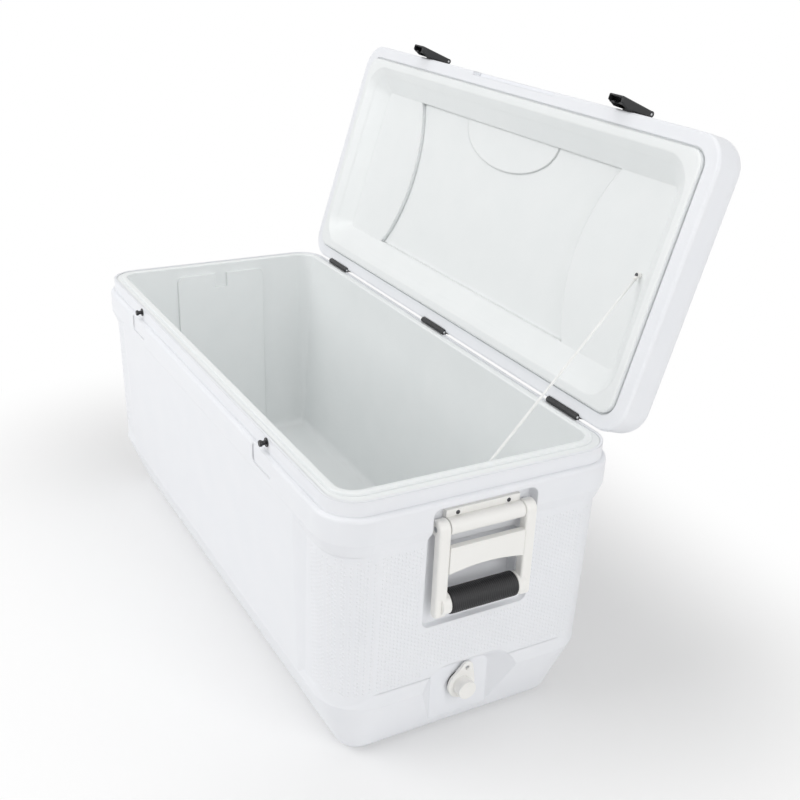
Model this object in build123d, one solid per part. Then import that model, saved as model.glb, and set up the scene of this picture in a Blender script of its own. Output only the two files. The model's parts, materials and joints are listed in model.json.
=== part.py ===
"""Large insulated chest cooler with its lid held open by a stay cord.

Millimetres, +Z up. The origin is the middle of the flat underside, X runs along the chest, the drain is at
the +X end and the latches are on the front, -Y. The lid is modelled shut, then turned open about its hinge.
"""
import os
from math import cos, radians, sin, tan

from build123d import *

# Body, outside
collar_length = 1070.0
collar_width = 468.0
collar_corner = 62.0
rim_height = 454.0
rim_step = 8.5
rim_corner = 50.0
shoulder_drop = 26.0
shoulder_round = 6.0
collar_height = 40.0
undercut_height = 21.0
undercut_slope = 20.0
wall_end_inset = 5.0
wall_side_inset = 7.5
wall_corner = 66.0
wall_draft = 1.55
panel_end_inset = 130.0
panel_blend_run = 40.0
panel_blend_depth = 8.0
panel_inset = 0.6
panel_draft = 2.25
band_end_inset = 6.5
band_side_inset = 11.0
band_corner = 73.0
band_height = 112.0
band_slope_height = 20.0
band_slope = 12.5
base_draft = 21.5
base_round = 34.0
shell_wall = 4.5
fit_gap = 0.3

# Liner and rim
opening_end_inset = 37.5
opening_side_inset = 32.0
opening_corner = 28.0
liner_draft = 2.45
liner_wall = 4.0
cavity_floor = 62.0
cavity_round = 14.0
outer_lip_drop = 3.5
inner_lip_width = 11.0
inner_lip_height = 4.5
inner_lip_round = 2.5
flange_thickness = 8.0
end_panel_width = 186.0
end_panel_top_drop = 20.0
end_panel_depth = 5.0
end_panel_corner = 12.0
end_tab_width = 25.0
end_tab_height = 29.0

# Lid, in its shut position
lid_gap = 0.5
lid_end_inset = 12.0
lid_side_inset = 10.0
lid_corner = 47.0
lid_height = 62.0
lid_top_round = 30.0
lid_edge_round = 5.0
lid_wall = 4.0
lid_liner_wall = 3.0
lid_liner_lap = 8.0
lid_open_angle = 106.8
plug_gap = 3.0
plug_depth = 6.0
plug_round = 2.5
ridge_width = 14.0
dish_depth = 28.0
dish_centre_extra = 8.0
dish_slope = 52.0
dish_corner = 52.0
dish_arc_inset = 257.0
dish_arc_radius = 261.0
half_moon_width = 280.0
half_moon_depth = 68.0
half_moon_step = 3.0
finger_lift_width = 246.0
finger_lift_depth = 7.0
finger_lift_height = 16.0

# Lid hinges
hinge_axis_inset = 1.0
hinge_axis_rise = 0.0
hinge_end_inset = 141.0
hinge_length = 76.0
hinge_knuckle = 4.5
hinge_pin_radius = 2.0
hinge_leaf = 2.5
hinge_leaf_height = 17.0
hinge_leaf_start = 5.0
hinge_gap = 0.4
hinge_notch_gap = 1.0
hinge_screw_spacing = 44.0

# Latches and keeper posts
latch_end_inset = 237.0
keeper_drop = 12.0
keeper_length = 12.0
keeper_flange_radius = 7.0
keeper_flange = 2.0
keeper_neck_radius = 3.5
keeper_head_radius = 5.0
keeper_head = 4.5
keeper_stub_radius = 3.0
keeper_round = 1.2
latch_width = 34.0
latch_wall = 2.5
latch_seat_depth = 4.0
latch_seat_gap = 1.0
latch_base_width = 40.0
latch_base_start = 4.0
latch_base_height = 42.0
latch_axis_out = 6.5
latch_axis_drop = 20.0
latch_knuckle = 5.0
latch_base_knuckle_width = 16.0
latch_knuckle_gap = 0.5
latch_skin_drop = 8.0
latch_pin_radius = 1.75
latch_tip_drop = 22.0
latch_tip_out = 18.5
latch_tip_depth = 10.0
latch_tip_round = 2.0
latch_back_gap = 2.0
latch_jaw = 3.0
latch_jaw_height = 9.0
latch_boss_width = 24.0
latch_boss_out = 4.0
latch_boss_drop = 33.0
latch_screw_spacing = 14.0
latch_screw_drop = 27.0
latch_pad_width = 70.0
latch_pad_height = 30.0
latch_pad_depth = 2.0
latch_pad_corner = 10.0

# Swing handles
handle_pivot_in = 3.0
handle_pivot_drop = 67.0
handle_head_radius = 13.5
handle_arm_depth = 16.5
handle_arm_width = 18.0
handle_inner_width = 122.0
handle_reach = 139.0
handle_edge_round = 3.5
handle_foot_round = 7.0
handle_floor_gap = 1.0
handle_pin_radius = 4.0
handle_web_drop = 27.0
handle_web_height = 42.0
handle_web_arch = 6.5
handle_web_depth = 9.0
handle_grip_drop = 120.0
handle_grip_radius = 18.5
handle_grip_forward = 2.5
handle_bar_radius = 9.0
handle_boss_radius = 16.5
handle_boss = 5.0
bracket_half_gap = 1.0
bracket_rise = 22.0
bracket_plate_depth = 9.0
bracket_plate_height = 24.0
bracket_barrel_radius = 12.0
handle_screw_spacing = 83.0
handle_screw_rise = 15.5
handle_pocket_gap = 7.0
handle_neck_gap = 3.0
handle_neck_drop = 8.0
handle_pocket_rise = 29.0
handle_pocket_drop = 161.0
handle_pocket_corner = 10.0
handle_pocket_draft = 12.0
hand_recess_width = 132.0
hand_recess_drop = 37.0
hand_recess_height = 108.0
hand_recess_depth = 16.0
hand_recess_draft = 8.0
running_gap = 0.05

# Drain
drain_height = 86.0
drain_pocket_depth = 38.0
drain_pocket_floor_width = 100.0
drain_pocket_top = 120.0
drain_pocket_slope = 45.0
drain_pocket_corner = 14.0
drain_barrel_radius = 11.0
drain_bore_radius = 8.0
drain_flange_radius = 20.0
drain_flange = 3.0
drain_gasket = 2.0
drain_barrel_out = 17.0
drain_boss_radius = 19.0
drain_boss = 2.0
drain_nut_radius = 15.0
drain_nut = 7.0
drain_hole_gap = 0.3
cap_radius = 15.0
cap_front = 4.5
cap_gap = 0.4
cap_flange_radius = 23.0
cap_flange = 4.0
cap_lug_reach = 29.0
cap_lug_radius = 10.0
cap_lug_hole = 3.5
cap_lug_angle = 17.0

# Stay cord
stay_radius = 2.2
stay_lid_inset = 99.0
stay_lid_y = -4.0
stay_body_y = 18.0
stay_body_drop = 15.0
stay_eye_radius = 4.0
stay_eye = 7.0
stay_ferrule_radius = 3.0
stay_ferrule = 9.0
stay_gap = 0.3

# Screws
screw_head_radius = 3.2
screw_head = 1.6
screw_shank_radius = 1.8

# Places worked out from the sizes above
rim_length = collar_length - 2 * rim_step
rim_width = collar_width - 2 * rim_step
rim_front = -rim_width / 2
wall_length = collar_length - 2 * wall_end_inset
wall_width = collar_width - 2 * wall_side_inset
panel_flat_length = collar_length - 2 * panel_end_inset
band_length = collar_length - 2 * band_end_inset
band_width = collar_width - 2 * band_side_inset
opening_length = collar_length - 2 * opening_end_inset
opening_width = collar_width - 2 * opening_side_inset
lid_length = collar_length - 2 * lid_end_inset
lid_width = collar_width - 2 * lid_side_inset
outer_lip_top = rim_height - outer_lip_drop
shoulder_top = rim_height - shoulder_drop
collar_bottom = shoulder_top - collar_height
groove_floor = rim_height - inner_lip_height
flange_bottom = groove_floor - flange_thickness
keeper_height = rim_height - keeper_drop
lid_bottom = rim_height + lid_gap
lid_top = lid_bottom + lid_height
lid_front = -lid_width / 2
lid_liner_top = lid_bottom + lid_wall + lid_liner_wall
plug_bottom = lid_bottom - plug_depth
plug_length = opening_length - 2 * plug_gap
plug_width = opening_width - 2 * plug_gap
dish_floor = lid_bottom + dish_depth
dish_arc_apex = lid_length / 2 - dish_arc_inset
dish_floor_width = plug_width - 2 * ridge_width - 2 * (plug_depth + dish_depth) * tan(radians(dish_slope))
outer_hinge_x = collar_length / 2 - hinge_end_inset
hinge_places = {"left": -outer_hinge_x, "centre": 0.0, "right": outer_hinge_x}
latch_x = collar_length / 2 - latch_end_inset
latch_places = {"left": -latch_x, "right": latch_x}
hinge_axis_y = rim_width / 2 - hinge_axis_inset
hinge_axis_z = rim_height + hinge_axis_rise
hinge_line = Axis((0, hinge_axis_y, hinge_axis_z), (1, 0, 0))
latch_axis_y = lid_front - latch_axis_out
latch_axis_z = lid_top - latch_axis_drop
latch_seat_bottom = lid_bottom + latch_base_start
latch_seat_top = latch_seat_bottom + latch_base_height
pivot_x = collar_length / 2 - handle_pivot_in
handle_pivot_height = rim_height - handle_pivot_drop
handle_bottom = handle_pivot_height - handle_reach
handle_web_top = handle_pivot_height - handle_web_drop
handle_web_bottom = handle_web_top - handle_web_height
handle_grip_height = handle_pivot_height - handle_grip_drop
handle_screw_height = handle_pivot_height + handle_screw_rise
bracket_top = handle_pivot_height + bracket_rise
handle_pocket_top = handle_pivot_height + handle_pocket_rise
handle_pocket_bottom = handle_pivot_height - handle_pocket_drop
handle_neck_bottom = collar_bottom - handle_neck_drop
hand_recess_top = handle_pivot_height - hand_recess_drop
hand_recess_bottom = hand_recess_top - hand_recess_height
pocket_floor_x = pivot_x - handle_head_radius - handle_floor_gap
bail_front_x = pivot_x + handle_head_radius
bail_outer_width = handle_inner_width + 2 * handle_arm_width
grip_x = pivot_x + handle_grip_forward
bracket_width = handle_inner_width - 2 * bracket_half_gap
drain_floor_x = collar_length / 2 - drain_pocket_depth
liner_slope = tan(radians(liner_draft))
drain_panel_x = opening_length / 2 - end_panel_depth - (groove_floor - drain_height) * liner_slope
drain_inner_x = drain_panel_x - drain_boss
drain_flange_x = drain_floor_x + drain_gasket
drain_barrel_end = drain_flange_x + drain_flange + drain_barrel_out
stay_body_z = rim_height - stay_body_drop
stay_body_x = opening_length / 2 - (groove_floor - stay_body_z) * liner_slope
stay_lid_x = lid_length / 2 - stay_lid_inset


def prism(length, width, corner, bottom, height, draft=0.0):
    """Rounded block standing on the height bottom; a negative height runs down, draft narrows it."""
    outline = Plane.XY.offset(bottom) * RectangleRounded(length, width, corner)
    way = (0, 0, 1 if height > 0 else -1)
    return extrude(outline, amount=abs(height), dir=way, taper=draft)


def block(x_range, y_range, z_range):
    """Plain block between three pairs of limits."""
    size = [high - low for low, high in (x_range, y_range, z_range)]
    middle = [(high + low) / 2 for low, high in (x_range, y_range, z_range)]
    return Pos(*middle) * Box(*size)


def rod(start, way, radius, length):
    """Round bar from a start point along a direction."""
    return extrude(Plane(origin=start, z_dir=way) * Circle(radius), amount=length)


def cross_rod(middle, radius, length):
    """Round bar along X, centred on a point."""
    x, y, z = middle
    return rod((x - length / 2, y, z), (1, 0, 0), radius, length)


def end_face(x, bottom, top):
    """Upright plane facing +X whose first axis is Y, centred between two heights."""
    return Plane(origin=(x, 0, (bottom + top) / 2), x_dir=(0, 1, 0), z_dir=(1, 0, 0))


def open_lid(piece):
    """Turn a piece of the shut lid to its open place."""
    return piece.rotate(hinge_line, -lid_open_angle)


def other_end(piece):
    """Same piece at the -X end."""
    return piece.rotate(Axis.Z, 180)


def screw(place, way, shank):
    """Domed screw whose head sits on a face at place and whose shank runs against way."""
    seat = Plane(origin=place, z_dir=way)
    head = extrude(seat * Circle(screw_head_radius), amount=screw_head)
    head = fillet(head.faces().sort_by(Axis(place, way))[-1].edges(), screw_head / 2)
    return head + drill(place, way, shank)


def drill(place, way, depth):
    """Shank of a screw, and the hole that takes it, run against way from place."""
    back = tuple(-part for part in way)
    return rod(place, back, screw_shank_radius, depth)


# Outer shell of the body


def outer_form(inset, bottom, top):
    """Outside of the body moved inwards by inset, from the height bottom to the height top."""
    rim = prism(rim_length - 2 * inset, rim_width - 2 * inset, rim_corner - inset, collar_bottom,
                top - collar_bottom)
    collar = prism(collar_length - 2 * inset, collar_width - 2 * inset, collar_corner - inset, collar_bottom,
                   shoulder_top - inset - collar_bottom)
    collar = fillet(collar.edges().group_by(Axis.Z)[-1], shoulder_round)
    undercut = prism(collar_length - 2 * inset, collar_width - 2 * inset, collar_corner - inset,
                     collar_bottom, -undercut_height, undercut_slope)
    wall = prism(wall_length - 2 * inset, wall_width - 2 * inset, wall_corner - inset, collar_bottom,
                 band_height - collar_bottom, wall_draft)
    band = prism(band_length - 2 * inset, band_width - 2 * inset, band_corner - inset, band_height,
                 band_slope_height, band_slope)
    base = prism(band_length - 2 * inset, band_width - 2 * inset, band_corner - inset, band_height,
                 bottom - band_height, base_draft)
    base = fillet(base.edges().group_by(Axis.Z)[0], base_round - inset)
    return rim + collar + undercut + wall + side_panels(inset) + band + base


def side_panels(inset):
    """Middle of the front and back walls, nearly flush with the collar and fading at both ends."""
    half_flat = panel_flat_length / 2 - inset
    half_width = collar_width / 2 - panel_inset - inset
    half_length = half_flat + panel_blend_run
    edge = half_width - panel_blend_depth
    corners = [(half_flat, half_width), (half_length, edge), (half_length, -edge), (half_flat, -half_width)]
    corners += [(-x, y) for x, y in reversed(corners)]
    outline = Plane.XY.offset(collar_bottom) * Polygon(*corners, align=None)
    return extrude(outline, amount=collar_bottom - band_height, dir=(0, 0, -1), taper=panel_draft)


def end_hollow(floor_x, width, bottom, top, reach, draft):
    """Hollow in the +X end with rounded corners: a floor, and sides that widen outwards by the draft."""
    outline = end_face(floor_x, bottom, top) * RectangleRounded(width, top - bottom, handle_pocket_corner)
    return extrude(outline, amount=reach, taper=-draft)


def handle_pocket(grow):
    """Pocket behind one swing handle, narrower in the collar, with the hand recess in its floor."""
    floor_x = pocket_floor_x - grow
    reach = collar_length / 2 - pocket_floor_x + 2 * grow + handle_head_radius
    arms = bail_outer_width + 2 * grow
    low = end_hollow(floor_x, arms + 2 * handle_pocket_gap, handle_pocket_bottom - grow,
                     handle_neck_bottom + grow, reach, handle_pocket_draft)
    neck = end_hollow(floor_x, arms + 2 * handle_neck_gap, handle_pocket_bottom, handle_pocket_top + grow,
                      reach, hand_recess_draft)
    recess_reach = hand_recess_depth + grow + handle_head_radius
    recess = end_hollow(floor_x - hand_recess_depth, hand_recess_width + 2 * grow, hand_recess_bottom - grow,
                        hand_recess_top + grow, recess_reach, hand_recess_draft)
    return low + neck + recess


def drain_pocket(grow):
    """Upright pocket in the base band round the drain, fading out at the underside."""
    width = drain_pocket_floor_width + 2 * grow
    high = drain_pocket_top + grow
    face = end_face(drain_floor_x - grow, -high, high)
    outline = face * RectangleRounded(width, 2 * high, drain_pocket_corner)
    return extrude(outline, amount=drain_pocket_depth + 2 * grow, taper=-drain_pocket_slope)


def pockets(grow):
    """All hollows pressed into the outside of the body."""
    return handle_pocket(grow) + other_end(handle_pocket(grow)) + drain_pocket(grow)


def latch_pad(x):
    """Shallow finger hollow in the collar under one latch tip."""
    middle = (x, -collar_width / 2 + latch_pad_depth, shoulder_top)
    face = Plane(origin=middle, x_dir=(1, 0, 0), z_dir=(0, -1, 0))
    outline = face * RectangleRounded(latch_pad_width, 2 * latch_pad_height, latch_pad_corner)
    return extrude(outline, amount=2 * latch_pad_depth)


def handle_screw_places():
    """Points on the handle bracket's face where its two screws sit, at the +X end."""
    face_x = pocket_floor_x + bracket_plate_depth
    return [(face_x, side * handle_screw_spacing / 2, handle_screw_height) for side in (-1, 1)]


def hinge_screw_places(x, y, z):
    """Points on one hinge leaf where its two screws sit."""
    return [(x + side * hinge_screw_spacing / 2, y, z) for side in (-1, 1)]


def keeper_stub(x):
    """Stub of one keeper post, and its hole in the rim wall."""
    return rod((x, rim_front, keeper_height), (0, 1, 0), keeper_stub_radius, shell_wall)


body_leaf_top = hinge_axis_z - hinge_leaf_start
body_leaf_face = rim_width / 2 + hinge_leaf
body_leaf_screw_height = body_leaf_top - hinge_leaf_height / 2
handle_holes = [drill(place, (1, 0, 0), bracket_plate_depth + shell_wall) for place in handle_screw_places()]

outer_shell = outer_form(0.0, 0.0, outer_lip_top) - pockets(0.0)
outer_shell -= outer_form(shell_wall, shell_wall, rim_height) - pockets(shell_wall)
for x in latch_places.values():
    outer_shell -= latch_pad(x)
    outer_shell -= keeper_stub(x)
for hole in handle_holes:
    outer_shell -= hole
    outer_shell -= other_end(hole)
for x in hinge_places.values():
    outer_shell -= cross_rod((x, hinge_axis_y, hinge_axis_z), hinge_knuckle + hinge_notch_gap,
                             hinge_length + 2 * hinge_notch_gap)
    for place in hinge_screw_places(x, body_leaf_face, body_leaf_screw_height):
        outer_shell -= drill(place, (0, 1, 0), hinge_leaf + shell_wall)
outer_shell -= cross_rod((drain_floor_x, 0, drain_height), drain_barrel_radius + drain_hole_gap,
                         2 * drain_pocket_depth)

# Liner, rim and foam of the body


def tub(grow, floor):
    """Inside of the liner moved outwards by grow, from the height floor up to the groove in the rim."""
    solid = prism(opening_length + 2 * grow, opening_width + 2 * grow, opening_corner + grow, groove_floor,
                  floor - groove_floor, liner_draft)
    return fillet(solid.edges().group_by(Axis.Z)[0], cavity_round)


def liner_form(grow, floor):
    """The tub with a panel on each end wall pushed inwards, notched at its top middle."""
    top = rim_height - end_panel_top_drop - grow
    width = end_panel_width - 2 * grow
    outline = end_face(0, -top, top) * RectangleRounded(width, 2 * top, end_panel_corner)
    panel = extrude(outline, amount=opening_length, both=True)
    half_tab = end_tab_width / 2 + grow
    panel -= block((-opening_length, opening_length), (-half_tab, half_tab), (top - end_tab_height, top))
    return (tub(grow, floor) - panel) + tub(grow - end_panel_depth, floor)


flange_inset = shell_wall + fit_gap
liner_underside = cavity_floor - liner_wall
lip = prism(opening_length + 2 * inner_lip_width, opening_width + 2 * inner_lip_width,
            opening_corner + inner_lip_width, groove_floor, inner_lip_height)
lip -= prism(opening_length, opening_width, opening_corner, groove_floor, inner_lip_height)
lip = fillet(lip.faces().sort_by(Axis.Z)[-1].edges(), inner_lip_round)
inner_liner = prism(rim_length - 2 * flange_inset, rim_width - 2 * flange_inset, rim_corner - flange_inset,
                    flange_bottom, flange_thickness)
inner_liner = (inner_liner + liner_form(liner_wall, liner_underside)) - liner_form(0.0, cavity_floor)
inner_liner += rod((drain_inner_x, 0, drain_height), (1, 0, 0), drain_boss_radius, liner_wall)
inner_liner -= cross_rod((drain_inner_x, 0, drain_height), drain_barrel_radius + drain_hole_gap,
                         2 * drain_pocket_depth)
inner_liner += lip

body_foam = outer_form(flange_inset, shell_wall, flange_bottom) - pockets(flange_inset)
body_foam -= liner_form(liner_wall + fit_gap, liner_underside)
body_foam -= cross_rod((drain_floor_x, 0, drain_height), drain_barrel_radius + 2 * drain_hole_gap,
                       2 * drain_pocket_depth)

# Keeper posts on the front of the rim


def keeper_post(x):
    """Mushroom post: wide foot on the wall, waisted neck and round head."""
    foot = rod((x, rim_front, keeper_height), (0, -1, 0), keeper_flange_radius, keeper_flange)
    foot = fillet(foot.faces().sort_by(Axis.Y)[0].edges(), keeper_flange / 2)
    neck = rod((x, rim_front, keeper_height), (0, -1, 0), keeper_neck_radius, keeper_length - keeper_round)
    head = rod((x, rim_front - keeper_length + keeper_head, keeper_height), (0, -1, 0), keeper_head_radius,
               keeper_head)
    head = fillet(head.edges(), keeper_round)
    return foot + neck + head + keeper_stub(x)


# Lid shell, liner and foam, shut


def lid_form(inset, bottom):
    """Outside of the lid moved inwards by inset, standing on the height bottom."""
    solid = prism(lid_length - 2 * inset, lid_width - 2 * inset, lid_corner - inset, bottom,
                  lid_top - inset - bottom)
    return fillet(solid.edges().group_by(Axis.Z)[-1], lid_top_round - inset)


def latch_seats(grow):
    """Flat seats pressed into the lid's front for the latch bases."""
    half_width = latch_base_width / 2 + latch_seat_gap + grow
    seats = [block((x - half_width, x + half_width), (lid_front - latch_seat_depth,
                                                      lid_front + latch_seat_depth + grow),
                   (latch_seat_bottom - latch_seat_gap - grow, lid_top)) for x in latch_places.values()]
    return seats[0] + seats[1]


def finger_lift(grow):
    """Long hollow under the lid's front edge for the fingers."""
    half_width = finger_lift_width / 2 + grow
    back = lid_front + finger_lift_depth + grow
    return block((-half_width, half_width), (lid_front - finger_lift_depth, back),
                 (lid_bottom - finger_lift_height, lid_bottom + finger_lift_height + grow))


def dish(grow):
    """Hollow in the lid's underside: sloping walls, raised ends with a curved step and a half-moon step."""
    solid = prism(plug_length - 2 * ridge_width + 2 * grow, plug_width - 2 * ridge_width + 2 * grow,
                  dish_corner + grow, plug_bottom, plug_depth + dish_depth + grow, dish_slope)
    top = dish_floor + dish_centre_extra + grow
    half_width = dish_floor_width / 2 + grow
    half_length = dish_arc_apex + dish_arc_radius
    centre = block((-half_length, half_length), (-half_width, half_width), (dish_floor, top))
    for side in (-1, 1):
        centre -= rod((side * half_length, 0, dish_floor), (0, 0, 1), dish_arc_radius - grow,
                      top - dish_floor)
    moon_face = Plane(origin=(0, -dish_floor_width / 2, top - half_moon_step), z_dir=(0, 0, 1))
    moon = extrude(moon_face * Ellipse(half_moon_width / 2 - grow, half_moon_depth - grow),
                   amount=half_moon_step)
    return solid + (centre - moon)


lid_shell = lid_form(0.0, lid_bottom)
lid_shell = fillet(lid_shell.edges().group_by(Axis.Z)[0], lid_edge_round)
lid_shell -= latch_seats(0.0) + finger_lift(0.0)
lid_hollow = lid_form(lid_wall, lid_bottom + lid_wall) - latch_seats(lid_wall) - finger_lift(lid_wall)
lid_shell -= lid_hollow
lid_shell -= prism(opening_length, opening_width, opening_corner, lid_bottom, lid_wall)
lid_leaf_bottom = hinge_axis_z + hinge_leaf_start
lid_leaf_face = lid_width / 2 + hinge_leaf
lid_leaf_screw_height = lid_leaf_bottom + hinge_leaf_height / 2
for x in hinge_places.values():
    lid_shell -= cross_rod((x, hinge_axis_y, hinge_axis_z), hinge_knuckle + hinge_notch_gap,
                           hinge_length + 2 * hinge_notch_gap)
    for place in hinge_screw_places(x, lid_leaf_face, lid_leaf_screw_height):
        lid_shell -= drill(place, (0, 1, 0), hinge_leaf + lid_wall)
latch_screw_height = latch_axis_z - latch_screw_drop
latch_screw_depth = latch_boss_out + latch_seat_depth + lid_wall
latch_screw_places = [(x + side * latch_screw_spacing / 2, lid_front - latch_boss_out, latch_screw_height)
                      for x in latch_places.values() for side in (-1, 1)]
for place in latch_screw_places:
    lid_shell -= drill(place, (0, -1, 0), latch_screw_depth)

lid_liner = prism(opening_length + 2 * lid_liner_lap, opening_width + 2 * lid_liner_lap,
                  opening_corner + lid_liner_lap, lid_bottom + lid_wall, lid_liner_wall)
lid_liner -= finger_lift(lid_wall)
plug = prism(plug_length, plug_width, opening_corner - plug_gap, plug_bottom, lid_liner_top - plug_bottom)
lid_liner += fillet(plug.edges().group_by(Axis.Z)[0], plug_round)
lid_liner = (lid_liner + dish(lid_liner_wall)) - dish(0.0)

lid_foam_inset = lid_wall + fit_gap
lid_foam = lid_form(lid_foam_inset, lid_liner_top) - latch_seats(lid_foam_inset) - finger_lift(lid_foam_inset)
lid_foam -= dish(lid_liner_wall + fit_gap)

# Lid hinges


def knuckles(x, ranges, bore):
    """Hinge barrels over some stretches of the pin, with their bore."""
    barrels = [cross_rod((x + (low + high) / 2, hinge_axis_y, hinge_axis_z), hinge_knuckle, high - low)
               for low, high in ranges]
    solid = barrels[0]
    for barrel in barrels[1:]:
        solid += barrel
    return solid - cross_rod((x, hinge_axis_y, hinge_axis_z), bore, 2 * hinge_length)


knuckle_reach = hinge_length / 2
knuckle_split = hinge_length / 6
outer_knuckles = [(-knuckle_reach, -knuckle_split - hinge_gap), (knuckle_split + hinge_gap, knuckle_reach)]
middle_knuckle = [(-knuckle_split, knuckle_split)]


def hinge_body_leaf(x):
    """Leaf screwed to the back of the rim wall, with the two outer barrels."""
    back = rim_width / 2
    plate = block((x - knuckle_reach, x + knuckle_reach), (back, body_leaf_face),
                  (body_leaf_top - hinge_leaf_height, body_leaf_top))
    for low, high in outer_knuckles:
        plate += block((x + low, x + high), (back, body_leaf_face), (body_leaf_top, hinge_axis_z))
    solid = plate + knuckles(x, outer_knuckles, hinge_pin_radius)
    for place in hinge_screw_places(x, body_leaf_face, body_leaf_screw_height):
        solid -= drill(place, (0, 1, 0), hinge_leaf)
    return solid - cross_rod((x, hinge_axis_y, hinge_axis_z), hinge_pin_radius, hinge_length)


def hinge_lid_leaf(x):
    """Leaf screwed to the back of the lid, with the middle barrel."""
    back = lid_width / 2
    plate = block((x - knuckle_reach, x + knuckle_reach), (back, lid_leaf_face),
                  (lid_leaf_bottom, lid_leaf_bottom + hinge_leaf_height))
    for low, high in middle_knuckle:
        plate += block((x + low, x + high), (back, lid_leaf_face), (hinge_axis_z, lid_leaf_bottom))
    bore = hinge_pin_radius + running_gap
    solid = plate + knuckles(x, middle_knuckle, bore)
    for place in hinge_screw_places(x, lid_leaf_face, lid_leaf_screw_height):
        solid -= drill(place, (0, 1, 0), hinge_leaf)
    return solid - cross_rod((x, hinge_axis_y, hinge_axis_z), bore, hinge_length)


# Rubber draw latches, on the shut lid


def latch_base(x):
    """Plate in the lid's seat with one hinge barrel at its top and a screwed boss under the lever."""
    half_width = latch_base_width / 2
    half_knuckle = latch_base_knuckle_width / 2
    half_boss = latch_boss_width / 2
    plate = block((x - half_width, x + half_width), (lid_front, lid_front + latch_seat_depth),
                  (latch_seat_bottom, latch_seat_top))
    rib = block((x - half_knuckle, x + half_knuckle), (latch_axis_y, lid_front),
                (latch_axis_z - latch_knuckle, latch_axis_z + latch_knuckle))
    boss = block((x - half_boss, x + half_boss), (lid_front - latch_boss_out, lid_front),
                 (latch_axis_z - latch_boss_drop, latch_axis_z - latch_skin_drop - latch_back_gap))
    barrel = cross_rod((x, latch_axis_y, latch_axis_z), latch_knuckle, latch_base_knuckle_width)
    solid = plate + rib + boss + barrel
    solid -= cross_rod((x, latch_axis_y, latch_axis_z), latch_pin_radius, latch_width)
    for place in latch_screw_places:
        solid -= drill(place, (0, -1, 0), latch_screw_depth)
    return solid


def latch_lever(x):
    """Hollow lever, open at the back and at the tip, with two jaws that straddle the keeper post."""
    half_width = latch_width / 2
    tip = lid_bottom - latch_tip_drop
    tip_out = lid_front - latch_tip_out
    back = lid_front - latch_back_gap
    top_out = latch_axis_y - latch_knuckle
    side = Plane(origin=(x - half_width, 0, 0), x_dir=(0, 1, 0), z_dir=(1, 0, 0))
    jaw_top = keeper_height + latch_jaw_height / 2
    outline = Polygon((top_out, latch_axis_z), (tip_out, tip), (tip_out + latch_tip_depth, tip),
                      (back, jaw_top), (back, latch_axis_z), align=None)
    outline = fillet(outline.vertices().sort_by(Axis.Y)[0:2], latch_tip_round)
    body = extrude(side * outline, amount=latch_width)
    body += cross_rod((x, latch_axis_y, latch_axis_z), latch_knuckle, latch_width)
    body = fillet(body.edges().filter_by(Axis.Z, tolerance=12).sort_by(Axis.Y)[0:2], latch_wall)
    hollow = Polygon((top_out + latch_wall, latch_axis_z - latch_skin_drop),
                     (tip_out + latch_wall, tip - latch_wall), (lid_front, tip - latch_wall),
                     (lid_front, latch_axis_z - latch_skin_drop), align=None)
    inner = Plane(origin=(x - half_width + latch_wall, 0, 0), x_dir=(0, 1, 0), z_dir=(1, 0, 0))
    body -= extrude(inner * hollow, amount=latch_width - 2 * latch_wall)
    half_slot = latch_base_knuckle_width / 2 + latch_knuckle_gap
    body -= block((x - half_slot, x + half_slot), (tip_out, lid_front),
                  (latch_axis_z - latch_skin_drop, lid_top))
    jaw_in = keeper_head_radius + fit_gap
    jaw_out = rim_front - keeper_length + keeper_head + fit_gap
    for way in (-1, 1):
        edges = sorted((x + way * jaw_in, x + way * (half_width - latch_wall / 2)))
        body += block(edges, (jaw_out, jaw_out + latch_jaw), (jaw_top - latch_jaw_height, jaw_top))
    return body - cross_rod((x, latch_axis_y, latch_axis_z), latch_pin_radius + running_gap, 2 * latch_width)


# Swing handle at the +X end


def handle_bracket():
    """Screwed plate with the fixed barrel that carries the handle's pin."""
    half_width = bracket_width / 2
    plate = block((pocket_floor_x, pocket_floor_x + bracket_plate_depth), (-half_width, half_width),
                  (bracket_top - bracket_plate_height, bracket_top))
    cheek = block((pocket_floor_x, pivot_x), (-half_width, half_width),
                  (handle_pivot_height - bracket_barrel_radius, handle_pivot_height))
    barrel = rod((pivot_x, -half_width, handle_pivot_height), (0, 1, 0), bracket_barrel_radius, bracket_width)
    solid = plate + cheek + barrel - handle_pin(handle_pin_radius)
    for hole in handle_holes:
        solid -= hole
    return solid


def handle_pin(radius):
    """Rod through the barrel and both arms."""
    return rod((pivot_x, -bail_outer_width / 2, handle_pivot_height), (0, 1, 0), radius, bail_outer_width)


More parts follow.
